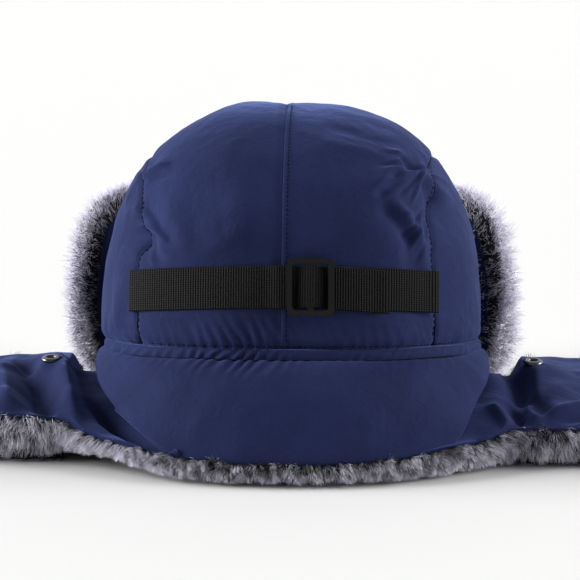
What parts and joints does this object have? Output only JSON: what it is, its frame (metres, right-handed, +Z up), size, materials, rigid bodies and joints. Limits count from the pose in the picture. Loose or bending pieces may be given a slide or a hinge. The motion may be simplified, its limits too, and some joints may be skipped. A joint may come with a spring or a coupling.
{
  "type": "trapper hat",
  "caption": "Padded winter trapper hat with turned-up front flap, spread ear flaps, neck flap, pile lining, rear strap with slider, and chin strap halves with a buckle.",
  "frame": {"origin": "centre of the hat's footprint on the table, ear flaps spread", "axes": "+Z up, +Y towards the wearer's face, +X towards the wearer's right ear flap"},
  "size_m": [0.6472, 0.2898, 0.1727],
  "materials": {
    "shell_fabric": "satin",
    "wadding": "matt",
    "lining_fabric": "satin",
    "pile": "matt",
    "webbing": "matt",
    "elastic": "matt",
    "black_plastic": "matt",
    "eyelet_metal": "satin"
  },
  "bodies": {
    "root": {"crown_middle_left": "shell_fabric", "crown_side_left": "shell_fabric", "crown_middle_left_padding": "wadding", "crown_side_left_padding": "wadding", "crown_middle_left_lining": "lining_fabric", "crown_side_left_lining": "lining_fabric", "crown_middle_right": "shell_fabric", "crown_side_right": "shell_fabric", "crown_middle_right_padding": "wadding", "crown_side_right_padding": "wadding", "crown_middle_right_lining": "lining_fabric", "crown_side_right_lining": "lining_fabric", "band_casing": "shell_fabric", "band_elastic": "elastic", "strap_left_with_tail": "webbing", "strap_right": "webbing", "neck_flap_shell": "shell_fabric", "neck_flap_padding": "wadding", "neck_flap_pile": "pile"},
    "left_ear_flap": {"left_ear_shell": "shell_fabric", "left_ear_padding": "wadding", "left_ear_pile": "pile", "left_eyelet": "eyelet_metal", "left_eyelet_washer": "eyelet_metal"},
    "left_chin": {"left_chin_strap": "webbing", "buckle_socket": "black_plastic"},
    "right_ear_flap": {"right_ear_shell": "shell_fabric", "right_ear_padding": "wadding", "right_ear_pile": "pile", "right_eyelet": "eyelet_metal", "right_eyelet_washer": "eyelet_metal"},
    "right_chin": {"right_chin_strap": "webbing", "buckle_plug": "black_plastic"},
    "slider": {"strap_slider": "black_plastic", "strap_over_slider_bar": "webbing"},
    "front_flap": {"front_flap_shell": "shell_fabric", "front_flap_padding": "wadding", "front_flap_pile": "pile"}
  },
  "joints": [
    {"name": "left_ear_flap_fold", "type": "hinge", "parent": "root", "child": "left_ear_flap", "pos_m": [-0.1095, -0.024, 0.0355], "axis": [0.0067, 0.9961, 0.0875], "range_deg": [0, 85]},
    {"name": "left_chin_strap_bend", "type": "hinge", "parent": "left_ear_flap", "child": "left_chin", "pos_m": [-0.2462, -0.024, 0.0084], "axis": [0, 1, 0], "range_deg": [0, 80]},
    {"name": "right_ear_flap_fold", "type": "hinge", "parent": "root", "child": "right_ear_flap", "pos_m": [0.1095, -0.024, 0.0355], "axis": [0.0067, -0.9961, -0.0875], "range_deg": [0, 85]},
    {"name": "right_chin_strap_bend", "type": "hinge", "parent": "right_ear_flap", "child": "right_chin", "pos_m": [0.2462, -0.024, 0.0084], "axis": [0, -1, 0], "range_deg": [0, 80]},
    {"name": "front_flap_fold", "type": "hinge", "parent": "root", "child": "front_flap", "pos_m": [0, 0.1141, 0.0229], "axis": [-1, 0, 0], "range_deg": [0, 75]},
    {"name": "slider_travel", "type": "hinge", "parent": "root", "child": "slider", "pos_m": [0.0047, 0.0138, 0.0749], "axis": [0, 0.1253, 0.9921], "range_deg": [-1, 11]}
  ]
}
